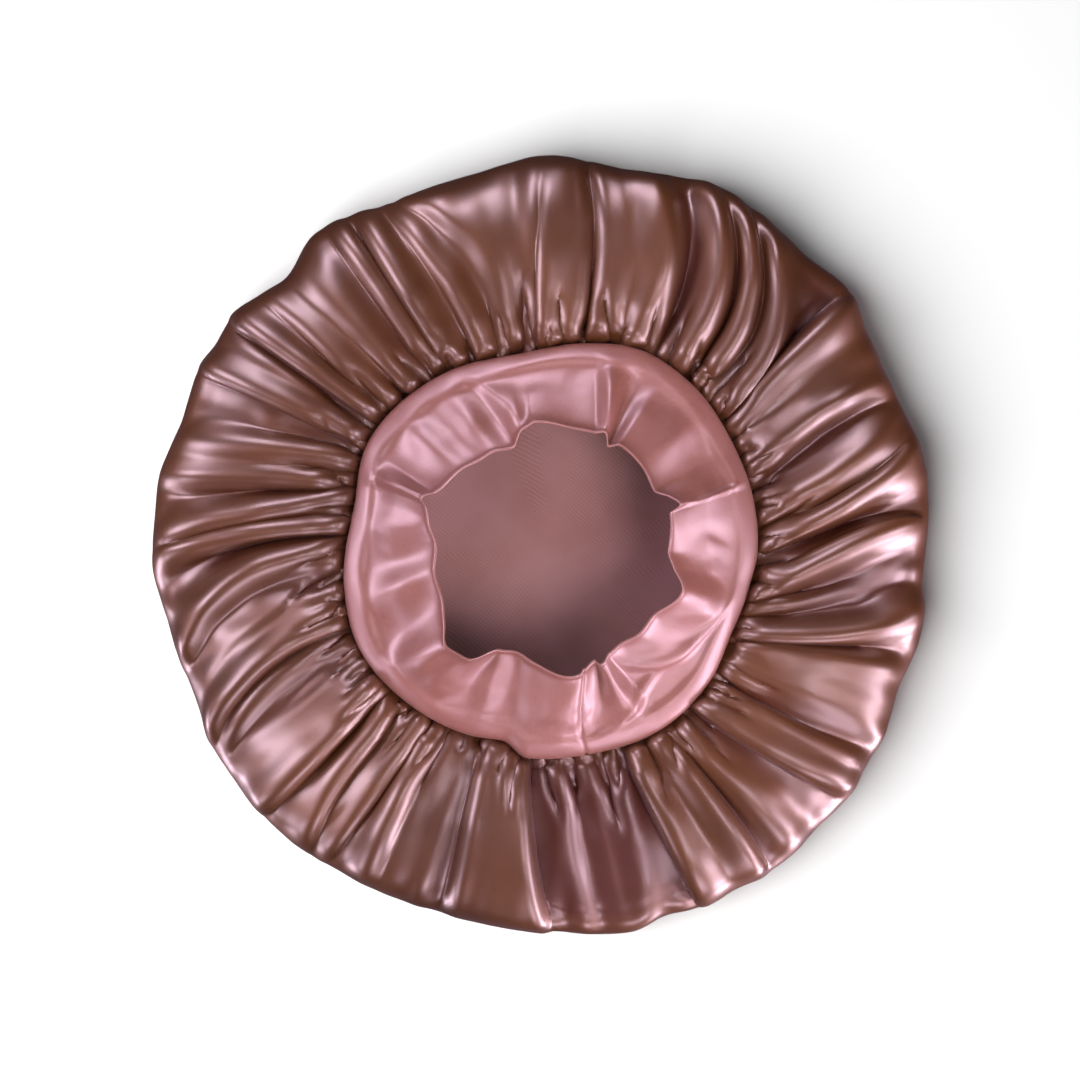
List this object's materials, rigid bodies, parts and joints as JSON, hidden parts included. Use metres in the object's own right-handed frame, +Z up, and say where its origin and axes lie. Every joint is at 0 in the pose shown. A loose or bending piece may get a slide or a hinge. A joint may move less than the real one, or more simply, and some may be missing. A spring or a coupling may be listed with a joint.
{
  "type": "sleep bonnet",
  "caption": "Satin sleep bonnet lying on its crown: a round crown gathered into a wide folded band that leans in around a soft opening for the head.",
  "frame": {"origin": "on the resting plane, under the centre of the bonnet's outline as seen from above", "axes": "+Z points up, out of the opening for the head; +X is the right and +Y the top of the straight-down view; the band's joining seam is towards -Y"},
  "size_m": [0.358, 0.3596, 0.0684],
  "materials": {
    "crown_satin": "brown-rose satin with a soft sheen, dull on its reverse",
    "band_satin": "pink satin with a soft sheen"
  },
  "bodies": {
    "root": {"crown": "crown_satin", "band": "band_satin"}
  },
  "joints": []
}
